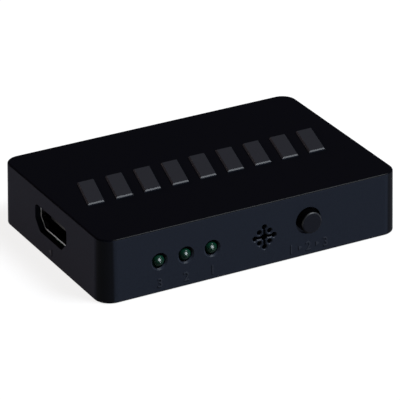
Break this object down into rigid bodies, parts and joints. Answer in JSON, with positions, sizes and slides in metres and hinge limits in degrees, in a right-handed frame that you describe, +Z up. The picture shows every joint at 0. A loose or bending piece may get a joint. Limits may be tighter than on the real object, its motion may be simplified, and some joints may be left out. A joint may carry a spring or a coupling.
{
  "type": "video switch box",
  "caption": "Small flat black box with rounded corners that passes one of several video inputs to one output, chosen with a push button on its front and shown by lamps.",
  "frame": {"origin": "middle of the underside, between the outer faces of the case", "axes": "+X to the right along the front, +Y from the front to the back, +Z up"},
  "size_m": [0.0756, 0.0517, 0.0157],
  "materials": {
    "case_plastic": "glossy roof, finely textured sides",
    "cover_plastic": "fine moulded texture",
    "button_plastic": "satin",
    "screw_steel": "blackened",
    "board_laminate": "green solder mask",
    "shell_steel": "bright nickel plate",
    "insulator_plastic": "moulded",
    "contact_gold": "gold plate",
    "lamp_epoxy": "clear tinted epoxy",
    "lead_tin": "tin plate",
    "switch_plastic": "moulded",
    "plunger_plastic": "moulded",
    "bracket_steel": "plain sheet",
    "receiver_epoxy": "dark filter epoxy",
    "chip_epoxy": "moulded",
    "can_aluminium": "bright",
    "capacitor_ceramic": "fired"
  },
  "bodies": {
    "case": {"upper_case": "case_plastic", "bottom_cover": "cover_plastic", "case_screws": "screw_steel", "circuit_board": "board_laminate", "out_socket_shell": "shell_steel", "in_1_socket_shell": "shell_steel", "in_2_socket_shell": "shell_steel", "in_3_socket_shell": "shell_steel", "out_socket_insulator": "insulator_plastic", "in_1_socket_insulator": "insulator_plastic", "in_2_socket_insulator": "insulator_plastic", "in_3_socket_insulator": "insulator_plastic", "out_socket_contacts": "contact_gold", "in_1_socket_contacts": "contact_gold", "in_2_socket_contacts": "contact_gold", "in_3_socket_contacts": "contact_gold", "led_1_lens": "lamp_epoxy", "led_2_lens": "lamp_epoxy", "led_3_lens": "lamp_epoxy", "led_1_leads": "lead_tin", "led_2_leads": "lead_tin", "led_3_leads": "lead_tin", "switch_terminals": "lead_tin", "ir_leads": "lead_tin", "switch_chip_leads": "lead_tin", "control_chip_leads": "lead_tin", "memory_leads": "lead_tin", "regulator_leads": "lead_tin", "chip_ends": "lead_tin", "switch_base": "switch_plastic", "switch_bracket": "bracket_steel", "switch_dome": "bracket_steel", "ir_shield": "bracket_steel", "quartz_crystal": "bracket_steel", "ir_receiver": "receiver_epoxy", "switch_chip": "chip_epoxy", "control_chip": "chip_epoxy", "memory_chips": "chip_epoxy", "voltage_regulator": "chip_epoxy", "chip_resistors": "chip_epoxy", "capacitor_bases": "chip_epoxy", "capacitor_cans": "can_aluminium", "chip_capacitors": "capacitor_ceramic"},
    "button": {"select_button": "button_plastic", "switch_plunger": "plunger_plastic"}
  },
  "joints": [
    {"name": "select_press", "type": "slide", "parent": "case", "child": "button", "axis": [0, 1, 0], "range_m": [0, 0.0003], "stiffness_N_per_m": 5000, "springref_m": -0.0001, "deforming": ["switch_dome"]}
  ]
}
